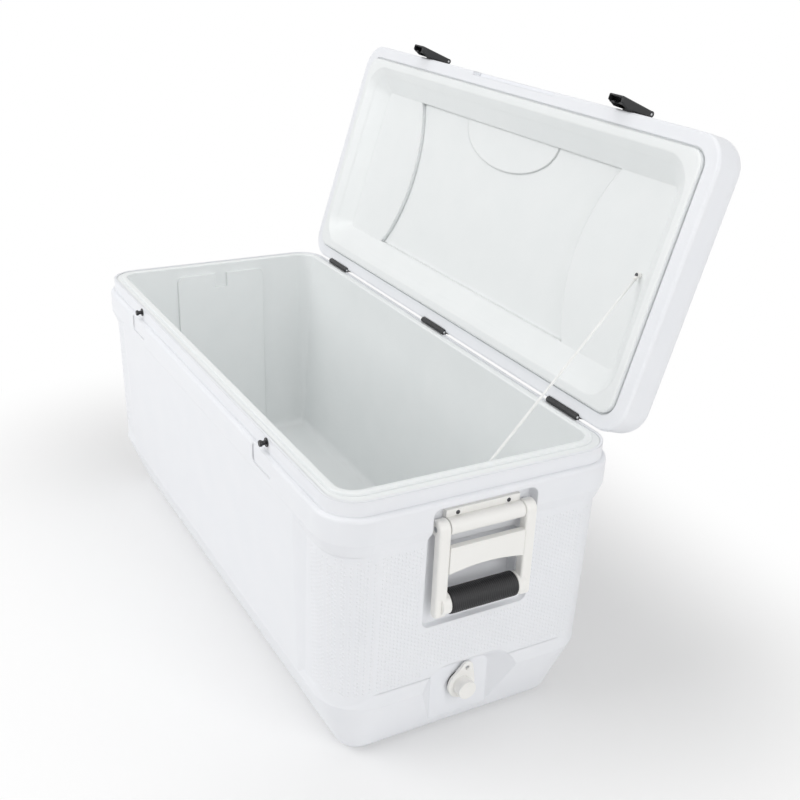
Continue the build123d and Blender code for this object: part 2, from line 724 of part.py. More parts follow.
def handle_bail():
    """Two arms, the arched web between them and the bar inside the grip."""
    back = bail_front_x - handle_arm_depth
    inner = handle_inner_width / 2
    side = Plane(origin=(0, 0, 0), x_dir=(1, 0, 0), z_dir=(0, -1, 0))
    arm = Polygon((back, handle_pivot_height), (back, handle_bottom), (bail_front_x, handle_bottom),
                  (bail_front_x, handle_pivot_height), align=None)
    arm = fillet(arm.vertices().group_by(Axis.Y)[0], handle_foot_round)
    head = Pos(pivot_x, handle_pivot_height) * Circle(handle_head_radius)
    boss = Pos(grip_x, handle_grip_height) * Circle(handle_boss_radius)
    bail = rod((grip_x, -inner, handle_grip_height), (0, 1, 0), handle_bar_radius, handle_inner_width)
    arm = extrude(side * (arm + head), amount=handle_arm_width / 2, both=True)
    arm = fillet(arm.edges().filter_by(Axis.Z).sort_by(Axis.X)[-2:], handle_edge_round)
    boss = extrude(side * boss, amount=handle_boss / 2 + handle_arm_width / 4, both=True)
    for way in (-1, 1):
        bail += Pos(0, way * (inner + handle_arm_width / 2), 0) * arm
        bail += Pos(0, way * (inner - handle_boss / 2 + handle_arm_width / 4), 0) * boss
    web = block((bail_front_x - handle_web_depth, bail_front_x), (-inner, inner),
                (handle_web_bottom, handle_web_top))
    arch_radius = (inner ** 2 + handle_web_arch ** 2) / (2 * handle_web_arch)
    web -= rod((pivot_x, 0, handle_web_bottom + handle_web_arch - arch_radius), (1, 0, 0), arch_radius,
               2 * handle_head_radius)
    return bail + web - handle_pin(handle_pin_radius + running_gap)


def handle_grip():
    """Rubber sleeve on the bar."""
    length = handle_inner_width - 2 * handle_boss
    start = (grip_x, -length / 2, handle_grip_height)
    sleeve = rod(start, (0, 1, 0), handle_grip_radius, length)
    return sleeve - rod(start, (0, 1, 0), handle_bar_radius, length)


# Drain in the +X end


def drain_spout():
    """Flanged barrel through the wall, open from the cavity to its outer end."""
    barrel_start = drain_inner_x - drain_nut
    barrel = rod((barrel_start, 0, drain_height), (1, 0, 0), drain_barrel_radius,
                 drain_barrel_end - barrel_start)
    flange = rod((drain_flange_x, 0, drain_height), (1, 0, 0), drain_flange_radius, drain_flange)
    return barrel + flange - cross_rod((drain_floor_x, 0, drain_height), drain_bore_radius, collar_width)


def drain_ring(start, outline, thickness):
    """Ring on the drain's barrel: a flat outline less the barrel."""
    ring = extrude(Plane(origin=(start, 0, drain_height), x_dir=(0, 1, 0), z_dir=(1, 0, 0)) * outline,
                   amount=thickness)
    return ring - cross_rod((start, 0, drain_height), drain_barrel_radius, collar_width)


def drain_cap():
    """Turning cap with a flange whose lug has a hole for a lanyard."""
    start = drain_flange_x + drain_flange + cap_gap
    face = Plane(origin=(start, 0, drain_height), x_dir=(0, 1, 0), z_dir=(1, 0, 0))
    lug_y = cap_lug_reach * sin(radians(cap_lug_angle))
    lug_z = cap_lug_reach * cos(radians(cap_lug_angle))
    outline = make_hull((Circle(cap_flange_radius) + Pos(lug_y, lug_z) * Circle(cap_lug_radius)).edges())
    outline -= Pos(lug_y, lug_z) * Circle(cap_lug_hole)
    cap = extrude(face * outline, amount=cap_flange)
    cup = rod((start, 0, drain_height), (1, 0, 0), cap_radius, drain_barrel_end + cap_gap + cap_front - start)
    cup = fillet(cup.faces().sort_by(Axis.X)[-1].edges(), cap_front / 3)
    inside = rod((start, 0, drain_height), (1, 0, 0), drain_barrel_radius + cap_gap,
                 drain_barrel_end + cap_gap - start)
    return cap + cup - inside


# Stay cord between the lid's dish and the liner's end wall


def stay_anchor(place, normal, way):
    """Round eye standing on a face, with a ferrule that points along the cord."""
    middle = tuple(at + stay_eye / 2 * part for at, part in zip(place, normal))
    return rod(place, normal, stay_eye_radius, stay_eye) + rod(middle, way, stay_ferrule_radius, stay_ferrule)


stay_lean = radians(liner_draft)
stay_body_normal = (-cos(stay_lean), 0.0, sin(stay_lean))
stay_body_place = (stay_body_x, stay_body_y, stay_body_z)
stay_lid_shut = Pos(stay_lid_x, stay_lid_y - hinge_axis_y, dish_floor - hinge_axis_z)
stay_lid_place = (Pos(0, hinge_axis_y, hinge_axis_z) * Rot(X=-lid_open_angle) * stay_lid_shut).position
turned = radians(lid_open_angle)
stay_lid_normal = (0.0, -sin(turned), -cos(turned))
stay_start = Vector(*stay_body_place) + Vector(*stay_body_normal) * (stay_eye / 2)
stay_end = Vector(*stay_lid_place) + Vector(*stay_lid_normal) * (stay_eye / 2)
stay_way = (stay_end - stay_start).normalized()
stay_length = (stay_end - stay_start).length - 2 * stay_ferrule - stay_gap
stay_back = -stay_way

# All pieces at their places

parts = {"outer_shell": outer_shell, "inner_liner": inner_liner, "body_foam": body_foam,
         "lid_shell": open_lid(lid_shell), "lid_liner": open_lid(lid_liner), "lid_foam": open_lid(lid_foam)}

for name, x in hinge_places.items():
    parts["hinge_body_leaf_" + name] = hinge_body_leaf(x)
    parts["hinge_lid_leaf_" + name] = open_lid(hinge_lid_leaf(x))
    parts["hinge_pin_" + name] = cross_rod((x, hinge_axis_y, hinge_axis_z), hinge_pin_radius, hinge_length)
parts["hinge_screws_body"] = Compound(
    [screw(place, (0, 1, 0), hinge_leaf + shell_wall) for x in hinge_places.values()
     for place in hinge_screw_places(x, body_leaf_face, body_leaf_screw_height)])
parts["hinge_screws_lid"] = open_lid(Compound(
    [screw(place, (0, 1, 0), hinge_leaf + lid_wall) for x in hinge_places.values()
     for place in hinge_screw_places(x, lid_leaf_face, lid_leaf_screw_height)]))

for name, x in latch_places.items():
    parts["keeper_post_" + name] = keeper_post(x)
    parts["latch_base_" + name] = open_lid(latch_base(x))
    parts["latch_lever_" + name] = open_lid(latch_lever(x))
    parts["latch_pin_" + name] = open_lid(cross_rod((x, latch_axis_y, latch_axis_z), latch_pin_radius,
                                                    latch_width))
parts["latch_screws"] = open_lid(Compound([screw(place, (0, -1, 0), latch_screw_depth)
                                           for place in latch_screw_places]))

handle_pieces = {"handle_bracket": handle_bracket(), "handle_pin": handle_pin(handle_pin_radius),
                 "handle_bail": handle_bail(), "handle_grip": handle_grip()}
for name, piece in handle_pieces.items():
    parts[name + "_right"] = piece
    parts[name + "_left"] = other_end(piece)
handle_screws = [screw(place, (1, 0, 0), bracket_plate_depth + shell_wall) for place in handle_screw_places()]
parts["handle_screws"] = Compound(handle_screws + [other_end(piece) for piece in handle_screws])

parts["drain_spout"] = drain_spout()
parts["drain_gasket"] = drain_ring(drain_floor_x, Circle(drain_flange_radius), drain_gasket)
parts["drain_nut"] = drain_ring(drain_inner_x - drain_nut, RegularPolygon(drain_nut_radius, 6), drain_nut)
parts["drain_cap"] = drain_cap()

parts["stay_body_anchor"] = stay_anchor(stay_body_place, stay_body_normal, stay_way)
parts["stay_lid_anchor"] = stay_anchor(stay_lid_place, stay_lid_normal, stay_back)
parts["stay_cord"] = rod(stay_start + stay_way * stay_ferrule, stay_way, stay_radius, stay_length)

os.makedirs("parts", exist_ok=True)
for name, piece in parts.items():
    export_step(piece, "parts/" + name + ".step")
print("stay cord length", round(stay_length, 1))
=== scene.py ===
import json
from math import cos, pi, radians, sin

import bpy
from mathutils import Matrix, Vector


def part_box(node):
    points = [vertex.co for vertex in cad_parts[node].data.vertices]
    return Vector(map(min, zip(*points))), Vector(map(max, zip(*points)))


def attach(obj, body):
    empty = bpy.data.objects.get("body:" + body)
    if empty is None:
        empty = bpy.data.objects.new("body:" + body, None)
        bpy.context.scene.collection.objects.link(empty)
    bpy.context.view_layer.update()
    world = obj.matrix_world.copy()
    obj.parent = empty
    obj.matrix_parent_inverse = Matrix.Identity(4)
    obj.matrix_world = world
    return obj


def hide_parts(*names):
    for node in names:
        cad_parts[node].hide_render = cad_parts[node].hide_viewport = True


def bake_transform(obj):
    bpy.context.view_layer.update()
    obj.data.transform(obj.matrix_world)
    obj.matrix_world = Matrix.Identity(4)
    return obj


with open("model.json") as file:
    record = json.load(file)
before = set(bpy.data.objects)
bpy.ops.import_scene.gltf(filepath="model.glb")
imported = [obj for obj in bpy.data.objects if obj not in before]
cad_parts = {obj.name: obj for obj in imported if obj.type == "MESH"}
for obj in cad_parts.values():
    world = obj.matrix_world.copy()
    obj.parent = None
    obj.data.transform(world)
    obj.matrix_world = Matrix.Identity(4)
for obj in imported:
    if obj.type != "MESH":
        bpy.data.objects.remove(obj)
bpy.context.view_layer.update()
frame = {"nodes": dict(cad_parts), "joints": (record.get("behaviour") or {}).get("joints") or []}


# Outer shell
# One hollow moulding in white high-density polyethylene, with the collar, the side panels and the pockets
# for the handles and the drain formed in it. The ends and corners carry a hexagonal emboss of low bumps.

nodes = frame["nodes"]
scene = bpy.context.scene
MM = 0.001


def linear(hex_colour):
    """Turn an sRGB hex colour into linear red, green, blue and alpha."""
    parts = [int(hex_colour[i:i + 2], 16) / 255 for i in (1, 3, 5)]
    return [p / 12.92 if p <= 0.04045 else ((p + 0.055) / 1.055) ** 2.4 for p in parts] + [1.0]


def add(tree, kind, sockets=None, **settings):
    """Add one node: set its properties, then give each socket a value or a link."""
    made = tree.nodes.new(kind)
    for name, value in settings.items():
        setattr(made, name, value)
    for socket, value in (sockets or {}).items():
        if isinstance(value, bpy.types.NodeSocket):
            tree.links.new(value, made.inputs[socket])
        else:
            made.inputs[socket].default_value = value
    return made


def surface(name, sockets):
    """Start a material: its node tree, its Principled shader and the Object coordinates."""
    material = bpy.data.materials.new(name)
    material.use_nodes = True
    tree = material.node_tree
    tree.nodes.clear()
    shader = add(tree, "ShaderNodeBsdfPrincipled", sockets)
    add(tree, "ShaderNodeOutputMaterial", {"Surface": shader.outputs["BSDF"]})
    place = add(tree, "ShaderNodeTexCoord").outputs["Object"]
    return material, tree, shader, place


flow_mark = 60 * MM
gloss_spread = 0.15
edge_samples = 6


def moulded(name, pale, shaded, roughness, grain_mm, grain_depth_mm, ior, edge_mm):
    """Moulded plastic or rubber with faint flow marks, a fine mould grain and softened edges."""
    material, tree, shader, place = surface(name, {"IOR": ior})
    flow = add(tree, "ShaderNodeTexNoise", {"Vector": place, "Scale": 1 / flow_mark, "Detail": 2.0})
    tint = add(tree, "ShaderNodeMix", {"Factor": flow.outputs["Fac"], "A": linear(pale),
                                       "B": linear(shaded)}, data_type="RGBA")
    tree.links.new(tint.outputs["Result"], shader.inputs["Base Color"])
    grain = add(tree, "ShaderNodeTexNoise", {"Vector": place, "Scale": 1 / (grain_mm * MM), "Detail": 3.0})
    gloss = add(tree, "ShaderNodeMapRange", {"Value": grain.outputs["Fac"],
                                             "To Min": roughness * (1 - gloss_spread),
                                             "To Max": roughness * (1 + gloss_spread)})
    tree.links.new(gloss.outputs["Result"], shader.inputs["Roughness"])
    bump = add(tree, "ShaderNodeBump", {"Height": grain.outputs["Fac"], "Strength": 1.0,
                                        "Distance": grain_depth_mm * MM})
    tree.links.new(bump.outputs["Normal"], shader.inputs["Normal"])
    if edge_mm:
        edge = add(tree, "ShaderNodeBevel", {"Radius": edge_mm * MM}, samples=edge_samples)
        tree.links.new(edge.outputs["Normal"], bump.inputs["Normal"])
    return material


def finish_with(material, *names):
    """Give CAD nodes a material."""
    for name in names:
        mesh = nodes[name].data
        mesh.materials.clear()
        mesh.materials.append(material)


def new_tree(name, **inputs):
    """Start a Geometry Nodes tree with a geometry input and named inputs for its sizes."""
    tree = bpy.data.node_groups.new(name, "GeometryNodeTree")
    tree.interface.new_socket("Geometry", in_out="INPUT", socket_type="NodeSocketGeometry")
    for label, kind in inputs.items():
        tree.interface.new_socket(label.replace("_", " "), in_out="INPUT", socket_type="NodeSocket" + kind)
    tree.interface.new_socket("Geometry", in_out="OUTPUT", socket_type="NodeSocketGeometry")
    return tree, tree.nodes.new("NodeGroupInput").outputs


def end_tree(tree, geometry, material):
    """Close a tree: realize its instances, set its material and give the result out."""
    real = add(tree, "GeometryNodeRealizeInstances", {"Geometry": geometry})
    painted = add(tree, "GeometryNodeSetMaterial", {"Geometry": real.outputs["Geometry"],
                                                    "Material": material})
    add(tree, "NodeGroupOutput", {"Geometry": painted.outputs["Geometry"]})


def grow(name, tree, carrier, **values):
    """Run a Geometry Nodes tree on a carrier mesh and keep the result as a plain mesh object."""
    piece = bpy.data.objects.new(name, carrier)
    scene.collection.objects.link(piece)
    modifier = piece.modifiers.new("Grow", "NODES")
    modifier.node_group = tree
    for item in tree.interface.items_tree:
        label = item.name.replace(" ", "_")
        if item.in_out == "INPUT" and label in values:
            modifier[item.identifier] = values[label]
    depsgraph = bpy.context.evaluated_depsgraph_get()
    plain = bpy.data.meshes.new_from_object(piece.evaluated_get(depsgraph), depsgraph=depsgraph)
    piece.modifiers.remove(modifier)
    piece.data = plain
    return piece


# Polyethylene moulded against a satin tool: slightly waxy white, soft highlights, a grain that hardly shows.
shell_plastic = dict(pale="#F2F3F6", shaded="#EDEFF3", roughness=0.42, grain_mm=1.5, grain_depth_mm=0.03,
                     ior=1.54)
white_polyethylene = moulded("white polyethylene", **shell_plastic, edge_mm=3.0)
# The same plastic on the bumps, which are too small to have softened edges of their own.
embossed_polyethylene = moulded("embossed polyethylene", **shell_plastic, edge_mm=0)
finish_with(white_polyethylene, "outer_shell")

column_spacing = 5.78 * MM
row_pitch = 6.67 * MM
bump_radius = 3.9 * MM
bump_height = 0.65 * MM
bump_sink = 0.43 * MM
bump_reach = 2.0 * MM
emboss_bottom = 136 * MM
emboss_top = 364 * MM
# The columns stand on a ring round the chest, and each bump is cast inwards from there onto the wall.
ring_length = 1080 * MM
ring_width = 478 * MM
ring_corner = 70 * MM
ring_corner_steps = 24
wall_nearest = 4 * MM
wall_farthest = 21.5 * MM
cast_length = 2 * wall_farthest
facing_least = 0.97
even_least = 0.999
# The emboss stops at the side panels and stays clear of the two handles and the drain.
panel_end = 447 * MM
handle_half_width = 92 * MM
handle_foot = 219 * MM
drain_half_width = 83 * MM
drain_top = 152 * MM

tree, given = new_tree("Hexagonal emboss", Column_spacing="Float", Row_pitch="Float", Rows="Int",
                       Bottom="Float", Bump_radius="Float", Bump_height="Float", Bump_material="Material")
ring = add(tree, "GeometryNodeCurvePrimitiveQuadrilateral", {"Width": ring_length, "Height": ring_width})
ring = add(tree, "GeometryNodeFilletCurve", {"Curve": ring.outputs[0], "Radius": ring_corner,
                                             "Count": ring_corner_steps}, mode="POLY")
columns = add(tree, "GeometryNodeCurveToPoints", {"Curve": ring.outputs[0],
                                                  "Length": given["Column spacing"]}, mode="LENGTH")
place = add(tree, "GeometryNodeInputPosition").outputs[0]
across = add(tree, "ShaderNodeVectorMath", {0: columns.outputs["Tangent"], 1: (0, 0, 1)},
             operation="CROSS_PRODUCT")
side = add(tree, "ShaderNodeVectorMath", {0: across.outputs[0], 1: place}, operation="DOT_PRODUCT")
side = add(tree, "ShaderNodeMath", {0: side.outputs["Value"]}, operation="SIGN")
outward = add(tree, "ShaderNodeVectorMath", {0: across.outputs[0], "Scale": side.outputs[0]},
              operation="SCALE")
kept = add(tree, "GeometryNodeStoreNamedAttribute",
           {"Geometry": columns.outputs["Points"], "Name": "outward", "Value": outward.outputs[0]},
           data_type="FLOAT_VECTOR")
count = add(tree, "GeometryNodeInputIndex").outputs[0]
odd = add(tree, "ShaderNodeMath", {0: count, 1: 2.0}, operation="MODULO")
kept = add(tree, "GeometryNodeStoreNamedAttribute",
           {"Geometry": kept.outputs[0], "Name": "odd", "Value": odd.outputs[0]})
foot = add(tree, "ShaderNodeCombineXYZ", {"Z": given["Bottom"]})
step = add(tree, "ShaderNodeCombineXYZ", {"Z": given["Row pitch"]})
rows = add(tree, "GeometryNodeMeshLine", {"Count": given["Rows"], "Start Location": foot.outputs[0],
                                          "Offset": step.outputs[0]})
field = add(tree, "GeometryNodeInstanceOnPoints", {"Points": rows.outputs[0], "Instance": kept.outputs[0]})
field = add(tree, "GeometryNodeRealizeInstances", {"Geometry": field.outputs[0]})
odd = add(tree, "GeometryNodeInputNamedAttribute", {"Name": "odd"})
half_step = add(tree, "ShaderNodeMath", {0: given["Row pitch"], 1: 0.5}, operation="MULTIPLY")
half_step = add(tree, "ShaderNodeMath", {0: half_step.outputs[0], 1: odd.outputs[0]}, operation="MULTIPLY")
shift = add(tree, "ShaderNodeCombineXYZ", {"Z": half_step.outputs[0]})
field = add(tree, "GeometryNodeSetPosition", {"Geometry": field.outputs[0], "Offset": shift.outputs[0]})
outward = add(tree, "GeometryNodeInputNamedAttribute", {"Name": "outward"}, data_type="FLOAT_VECTOR")
outward = outward.outputs[0]
inward = add(tree, "ShaderNodeVectorMath", {0: outward, "Scale": -1.0}, operation="SCALE")
cast = {"Target Geometry": given["Geometry"], "Ray Direction": inward.outputs[0], "Ray Length": cast_length}
ray = add(tree, "GeometryNodeRaycast", {**cast, "Source Position": place})
facing = add(tree, "ShaderNodeVectorMath", {0: ray.outputs["Hit Normal"], 1: outward},
             operation="DOT_PRODUCT")
spot = add(tree, "ShaderNodeSeparateXYZ", {0: place})
off_middle = add(tree, "ShaderNodeMath", {0: spot.outputs["Y"]}, operation="ABSOLUTE").outputs[0]
off_centre = add(tree, "ShaderNodeMath", {0: spot.outputs["X"]}, operation="ABSOLUTE").outputs[0]


def all_hold(tests):
    """Join tests of a bump's place into one socket, which is 1 where every test holds."""
    joined = 1.0
    for value, way, limit in tests:
        holds = add(tree, "ShaderNodeMath", {0: value, 1: limit}, operation=way).outputs[0]
        joined = add(tree, "ShaderNodeMath", {0: joined, 1: holds}, operation="MULTIPLY").outputs[0]
    return joined


by_handle = all_hold([(off_middle, "LESS_THAN", handle_half_width),
                      (spot.outputs["Z"], "GREATER_THAN", handle_foot)])
by_drain = all_hold([(off_middle, "LESS_THAN", drain_half_width),
                     (spot.outputs["Z"], "LESS_THAN", drain_top),
                     (spot.outputs["X"], "GREATER_THAN", 0.0)])
tests = [(ray.outputs["Hit Distance"], "GREATER_THAN", wall_nearest),
         (ray.outputs["Hit Distance"], "LESS_THAN", wall_farthest),
         (facing.outputs["Value"], "GREATER_THAN", facing_least),
         (off_centre, "GREATER_THAN", panel_end),
         (by_handle, "LESS_THAN", 0.5),
         (by_drain, "LESS_THAN", 0.5)]
# A bump needs even wall to its left and right, so none stands across an upright edge of the shell's mesh.
aside = add(tree, "ShaderNodeVectorMath", {0: outward, 1: (0, 0, 1)}, operation="CROSS_PRODUCT")
for reach in (-bump_reach, bump_reach):
    beside = add(tree, "ShaderNodeVectorMath", {0: aside.outputs[0], 1: (reach, reach, reach), 2: place},
                 operation="MULTIPLY_ADD")
    near = add(tree, "GeometryNodeRaycast", {**cast, "Source Position": beside.outputs[0]})
    even = add(tree, "ShaderNodeVectorMath", {0: near.outputs["Hit Normal"], 1: ray.outputs["Hit Normal"]},
               operation="DOT_PRODUCT")
    tests.append((even.outputs["Value"], "GREATER_THAN", even_least))
field = add(tree, "GeometryNodeSeparateGeometry", {"Geometry": field.outputs[0],
                                                   "Selection": all_hold(tests)})
field = add(tree, "GeometryNodeStoreNamedAttribute",
            {"Geometry": field.outputs["Selection"], "Name": "wall", "Value": ray.outputs["Hit Normal"]},
            data_type="FLOAT_VECTOR")
field = add(tree, "GeometryNodeSetPosition", {"Geometry": field.outputs[0],
                                              "Position": ray.outputs["Hit Position"]})
size = add(tree, "ShaderNodeCombineXYZ", {"X": given["Bump radius"], "Y": given["Bump radius"],
                                          "Z": given["Bump height"]})
bump = add(tree, "GeometryNodeMeshIcoSphere", {"Radius": 1.0, "Subdivisions": 1})
bump = add(tree, "GeometryNodeSetShadeSmooth", {"Geometry": bump.outputs["Mesh"]})
bump = add(tree, "GeometryNodeTransform", {"Geometry": bump.outputs[0], "Scale": size.outputs[0],
                                           "Translation": (0, 0, -bump_sink)})
wall = add(tree, "GeometryNodeInputNamedAttribute", {"Name": "wall"}, data_type="FLOAT_VECTOR")
turn = add(tree, "FunctionNodeAlignRotationToVector", {"Vector": wall.outputs[0]}, axis="Z")
bumps = add(tree, "GeometryNodeInstanceOnPoints", {"Points": field.outputs[0], "Instance": bump.outputs[0],
                                                   "Rotation": turn.outputs[0]})
end_tree(tree, bumps.outputs[0], given["Bump material"])
emboss = grow("shell_emboss", tree, nodes["outer_shell"].data, Column_spacing=column_spacing,
              Row_pitch=row_pitch, Rows=int((emboss_top - emboss_bottom) / row_pitch), Bottom=emboss_bottom,
              Bump_radius=bump_radius, Bump_height=bump_height, Bump_material=embossed_polyethylene)
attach(emboss, "body")


# Inner liner and body foam
# The liner is a smooth white tub whose flange closes the top of the shell; it is pressed in before the
# gap between the two is filled with rigid polyurethane foam, which nobody sees.

# Smooth food-safe polyethylene: glossier than the outside, faintly green in its depth.
liner_plastic = dict(pale="#F3F5F5", shaded="#EEF1F1", roughness=0.33, grain_mm=6.0, grain_depth_mm=0.02,
                     ior=1.54)
white_liner = moulded("smooth liner polyethylene", **liner_plastic, edge_mm=3.0)
finish_with(white_liner, "inner_liner")
# Rigid foam: straw yellow and matt, with cells under a millimetre wide.
rigid_foam = moulded("rigid polyurethane foam", pale="#E9DDB4", shaded="#DCCB97", roughness=0.9,
                     grain_mm=0.8, grain_depth_mm=0.2, ior=1.45, edge_mm=1.0)
finish_with(rigid_foam, "body_foam", "lid_foam")


# Lid shell and lid liner
# A shallow shell in the same polyethylene as the body, with a dished liner clipped into its underside and
# the gap between them foamed. Two curved steps cross the dish, each rounded over along its edge.

finish_with(white_polyethylene, "lid_shell")
# The same smooth plastic as the tub, drawn into a dish, which rounds its edges more.
soft_liner = moulded("deep-drawn liner polyethylene", **liner_plastic, edge_mm=5.0)
finish_with(soft_liner, "lid_liner")

# Places on the lid are given as they are with the lid shut; lid_open turns them to the rest pose.
lid_joint = next(joint for joint in frame["joints"] if joint["name"] == "lid_hinge")
hinge_point = Vector(lid_joint["pos_m"])
open_angle = radians(lid_joint["range_deg"][1])
lid_open = (Matrix.Translation(hinge_point) @ Matrix.Rotation(-open_angle, 4, "X")
            @ Matrix.Translation(-hinge_point))
lid_turn = lid_open.to_3x3()
lid_down = lid_turn @ Vector((0, 0, -1))
arc_middle = 527 * MM
arc_radius = 261 * MM
arc_half_angle = radians(32.6)
arc_height = 482.5 * MM
bead_radius = 1.6 * MM
bead_rise = 0.9 * MM
bead_steps = 48
bead_sides = 10


def add_tube(points, faces, line, radius, sides):
    """Add a closed tube; line lists its middle points, each with the way its first corner faces."""
    base = len(points)
    last = len(line) - 1
    for i, (middle, out) in enumerate(line):
        ahead = line[min(i + 1, last)][0] - line[max(i - 1, 0)][0]
        across = ahead.cross(out).normalized()
        points.extend(middle + radius * (cos(2 * pi * j / sides) * out + sin(2 * pi * j / sides) * across)
                      for j in range(sides))
    for i in range(last):
        row = base + i * sides
        faces.extend((row + j, row + (j + 1) % sides, row + sides + (j + 1) % sides, row + sides + j)
                     for j in range(sides))
    faces.append([base + j for j in reversed(range(sides))])
    faces.append([base + last * sides + j for j in range(sides)])


def tube_piece(name, points, faces, material):
    """Make a smooth object of tubes."""
    mesh = bpy.data.meshes.new(name)
    mesh.from_pydata(points, [], faces)
    mesh.polygons.foreach_set("use_smooth", [True] * len(mesh.polygons))
    mesh.materials.append(material)
    piece = bpy.data.objects.new(name, mesh)
    scene.collection.objects.link(piece)
    return piece


points, faces = [], []
for side in (-1, 1):
    bead_line = []
    for i in range(bead_steps + 1):
        angle = side * arc_half_angle * (2 * i / bead_steps - 1)
        spot_shut = Vector((side * (arc_middle - arc_radius * cos(angle)), arc_radius * sin(angle),
                            arc_height + bead_rise))
        bead_line.append((lid_open @ spot_shut, lid_down))
    add_tube(points, faces, bead_line, bead_radius, bead_sides)
beads = tube_piece("lid_dish_beads", points, faces, white_liner)
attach(beads, "lid")


# Hinges
# Three black glass-filled nylon hinges with a steel pin each: one leaf on the back of the rim, one on the
# back of the lid, two stainless cross-head screws in each leaf.

# Filled nylon: near black, satin, with a fine dry grain.
black_nylon = moulded("black glass-filled nylon", pale="#17181A", shaded="#1F2022", roughness=0.4,
                      grain_mm=0.6, grain_depth_mm=0.02, ior=1.53, edge_mm=1.2)
scratch_spacing = 0.4 * MM


def bare_metal(name, colour, polished, dulled):
    """Turned or cold-formed metal whose roughness varies between two values along fine scratches."""
    material, tree, shader, place = surface(name, {"Base Color": linear(colour), "Metallic": 1.0})
    scratch = add(tree, "ShaderNodeTexNoise", {"Vector": place, "Scale": 1 / scratch_spacing, "Detail": 4.0})
    gloss = add(tree, "ShaderNodeMapRange", {"Value": scratch.outputs["Fac"], "To Min": polished,
                                             "To Max": dulled})
    tree.links.new(gloss.outputs["Result"], shader.inputs["Roughness"])
    return material


# Bright stainless steel: turned pins and cold-formed screws with a clean, fairly sharp shine.
stainless = bare_metal("stainless steel", "#C4C6C8", polished=0.2, dulled=0.38)
for place_name in ("left", "centre", "right"):
    finish_with(black_nylon, "hinge_body_leaf_" + place_name, "hinge_lid_leaf_" + place_name)
    finish_with(stainless, "hinge_pin_" + place_name)

screw_radius = 3.2 * MM
screw_height = 1.6 * MM
screw_segments = 24
screw_rings = 12
# The cross slot's sizes are shares of the head's radius.
slot_length = 1.1
slot_width = 0.22

tree, given = new_tree("Cross-head screws", Head_radius="Float", Head_height="Float",
                       Head_material="Material")
size = add(tree, "ShaderNodeCombineXYZ", {"X": given["Head radius"], "Y": given["Head radius"],
                                          "Z": given["Head height"]})
dome = add(tree, "GeometryNodeMeshUVSphere", {"Segments": screw_segments, "Rings": screw_rings,
                                              "Radius": 1.0})
cross = add(tree, "GeometryNodeJoinGeometry")
for slot_size in ((slot_length, slot_width, 1.0), (slot_width, slot_length, 1.0)):
    slot = add(tree, "GeometryNodeMeshCube", {"Size": slot_size})
    tree.links.new(slot.outputs["Mesh"], cross.inputs[0])
cross = add(tree, "GeometryNodeTransform", {"Geometry": cross.outputs[0], "Translation": (0, 0, 1.0)})
head = add(tree, "GeometryNodeMeshBoolean", {"Mesh 1": dome.outputs["Mesh"], "Mesh 2": cross.outputs[0]},
           operation="DIFFERENCE")
head = add(tree, "GeometryNodeTransform", {"Geometry": head.outputs["Mesh"], "Scale": size.outputs[0]})
way = add(tree, "GeometryNodeInputNamedAttribute", {"Name": "way"}, data_type="FLOAT_VECTOR")
turn = add(tree, "FunctionNodeAlignRotationToVector", {"Vector": way.outputs[0]}, axis="Z")
heads = add(tree, "GeometryNodeInstanceOnPoints", {"Points": given["Geometry"], "Instance": head.outputs[0],
                                                   "Rotation": turn.outputs[0]})
end_tree(tree, heads.outputs[0], given["Head material"])
screw_tree = tree


def screws(name, body, spots, material):
    """Screw heads on one body, in place of the CAD screws of that name if there are any.

    Each spot is a place and the way that its head faces.
    """
    carrier = bpy.data.meshes.new(name)
    carrier.from_pydata([place for place, way in spots], [], [])
    ways = carrier.attributes.new("way", "FLOAT_VECTOR", "POINT")
    ways.data.foreach_set("vector", [part for place, way in spots for part in way])
    piece = grow(name + "_heads", screw_tree, carrier, Head_radius=screw_radius, Head_height=screw_height,
                 Head_material=material)
    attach(piece, body)
    if name in nodes:
        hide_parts(name)


hinge_spacing = 394 * MM
hinge_screw_offset = 22 * MM
hinge_xs = [x + side * hinge_screw_offset
            for x in (-hinge_spacing, 0.0, hinge_spacing) for side in (-1, 1)]
backwards = Vector((0, 1, 0))
rim_leaf_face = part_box("hinge_screws_body")[1].y - screw_height
rim_leaf_height = sum(corner.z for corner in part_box("hinge_screws_body")) / 2
rim_leaf_spots = [((x, rim_leaf_face, rim_leaf_height), backwards) for x in hinge_xs]
screws("hinge_screws_body", "body", rim_leaf_spots, stainless)
lid_leaf_face = 226.5 * MM
lid_leaf_height = 467.5 * MM
lid_leaf_spots = [(lid_open @ Vector((x, lid_leaf_face, lid_leaf_height)), lid_turn @ backwards)
                  for x in hinge_xs]
screws("hinge_screws_lid", "lid", lid_leaf_spots, stainless)


# Keeper posts and latches
# Glossy black posts are pressed into the front of the rim. A rubber lever turns on a pin in its screwed
# base on the lid's front edge, and its two jaws pull down over the post.

# Polished acetal for the posts: black with a sharp highlight.
black_acetal = moulded("polished black acetal", pale="#101113", shaded="#15161A", roughness=0.16,
                       grain_mm=2.0, grain_depth_mm=0.005, ior=1.48, edge_mm=0.8)
